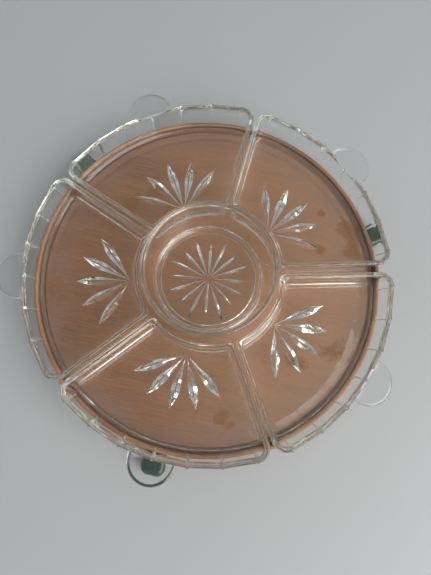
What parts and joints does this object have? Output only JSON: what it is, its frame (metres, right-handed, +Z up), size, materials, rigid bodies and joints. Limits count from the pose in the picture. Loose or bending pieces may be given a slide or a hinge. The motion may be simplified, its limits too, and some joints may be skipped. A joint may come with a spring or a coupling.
{
  "type": "lazy susan turntable with serving dishes",
  "caption": "Wooden lazy susan on a green three-armed base, carrying wedge-shaped pressed-glass dishes with finger tabs round a deeper centre bowl.",
  "frame": {"origin": "on the turntable's spin axis, at the level of the table that the feet stand on", "axes": "+Z up along the spin axis; +X and +Y across the table, with +Y away from the user; the dishes' mid-lines are about 38, 110, 181, 253 and 325 degrees round from +X"},
  "size_m": [0.3592, 0.349, 0.0842],
  "materials": {
    "green_plastic": "glossy moulded dark green plastic",
    "rubber": "matt black rubber",
    "screw_steel": "zinc-plated screws",
    "plate_steel": "pressed plated steel",
    "ball_steel": "polished steel balls",
    "cage_plastic": "natural nylon",
    "board_wood": "worn oiled hardwood, straight grain",
    "hoop_wood": "bent wood, worn varnish",
    "clear_glass": "clear pressed soda glass"
  },
  "bodies": {
    "base": {"base_spider": "green_plastic", "foot_pad_1": "rubber", "foot_pad_2": "rubber", "foot_pad_3": "rubber", "foot_screws": "screw_steel", "lower_race_plate": "plate_steel", "lower_plate_screws": "screw_steel", "swivel_eyelet": "plate_steel"},
    "ball_set": {"ball_cage": "cage_plastic", "bearing_balls": "ball_steel"},
    "turntable": {"upper_race_plate": "plate_steel", "upper_plate_screws": "screw_steel", "tray_board": "board_wood", "tray_hoop": "hoop_wood"},
    "wedge_dish_1": {"dish_1": "clear_glass"},
    "wedge_dish_2": {"dish_2": "clear_glass"},
    "wedge_dish_3": {"dish_3": "clear_glass"},
    "wedge_dish_4": {"dish_4": "clear_glass"},
    "wedge_dish_5": {"dish_5": "clear_glass"},
    "bowl": {"centre_bowl": "clear_glass"}
  },
  "joints": [
    {"name": "turntable_spin", "type": "hinge", "parent": "base", "child": "turntable", "pos_m": [0, 0, 0.0202], "axis": [0, 0, 1], "continuous": true},
    {"name": "ball_set_spin", "type": "hinge", "parent": "base", "child": "ball_set", "pos_m": [0, 0, 0.0176], "axis": [0, 0, 1], "continuous": true},
    {"name": "dish_1_lift", "type": "slide", "parent": "turntable", "child": "wedge_dish_1", "axis": [0, 0, 1], "range_m": [0, 0.06]},
    {"name": "dish_2_lift", "type": "slide", "parent": "turntable", "child": "wedge_dish_2", "axis": [0, 0, 1], "range_m": [0, 0.06]},
    {"name": "dish_3_lift", "type": "slide", "parent": "turntable", "child": "wedge_dish_3", "axis": [0, 0, 1], "range_m": [0, 0.06]},
    {"name": "dish_4_lift", "type": "slide", "parent": "turntable", "child": "wedge_dish_4", "axis": [0, 0, 1], "range_m": [0, 0.06]},
    {"name": "dish_5_lift", "type": "slide", "parent": "turntable", "child": "wedge_dish_5", "axis": [0, 0, 1], "range_m": [0, 0.06]},
    {"name": "bowl_lift", "type": "slide", "parent": "turntable", "child": "bowl", "axis": [0, 0, 1], "range_m": [0, 0.06]}
  ],
  "couplings": [
    {"joint": "ball_set_spin", "follows": "turntable_spin", "ratio": 0.5}
  ]
}
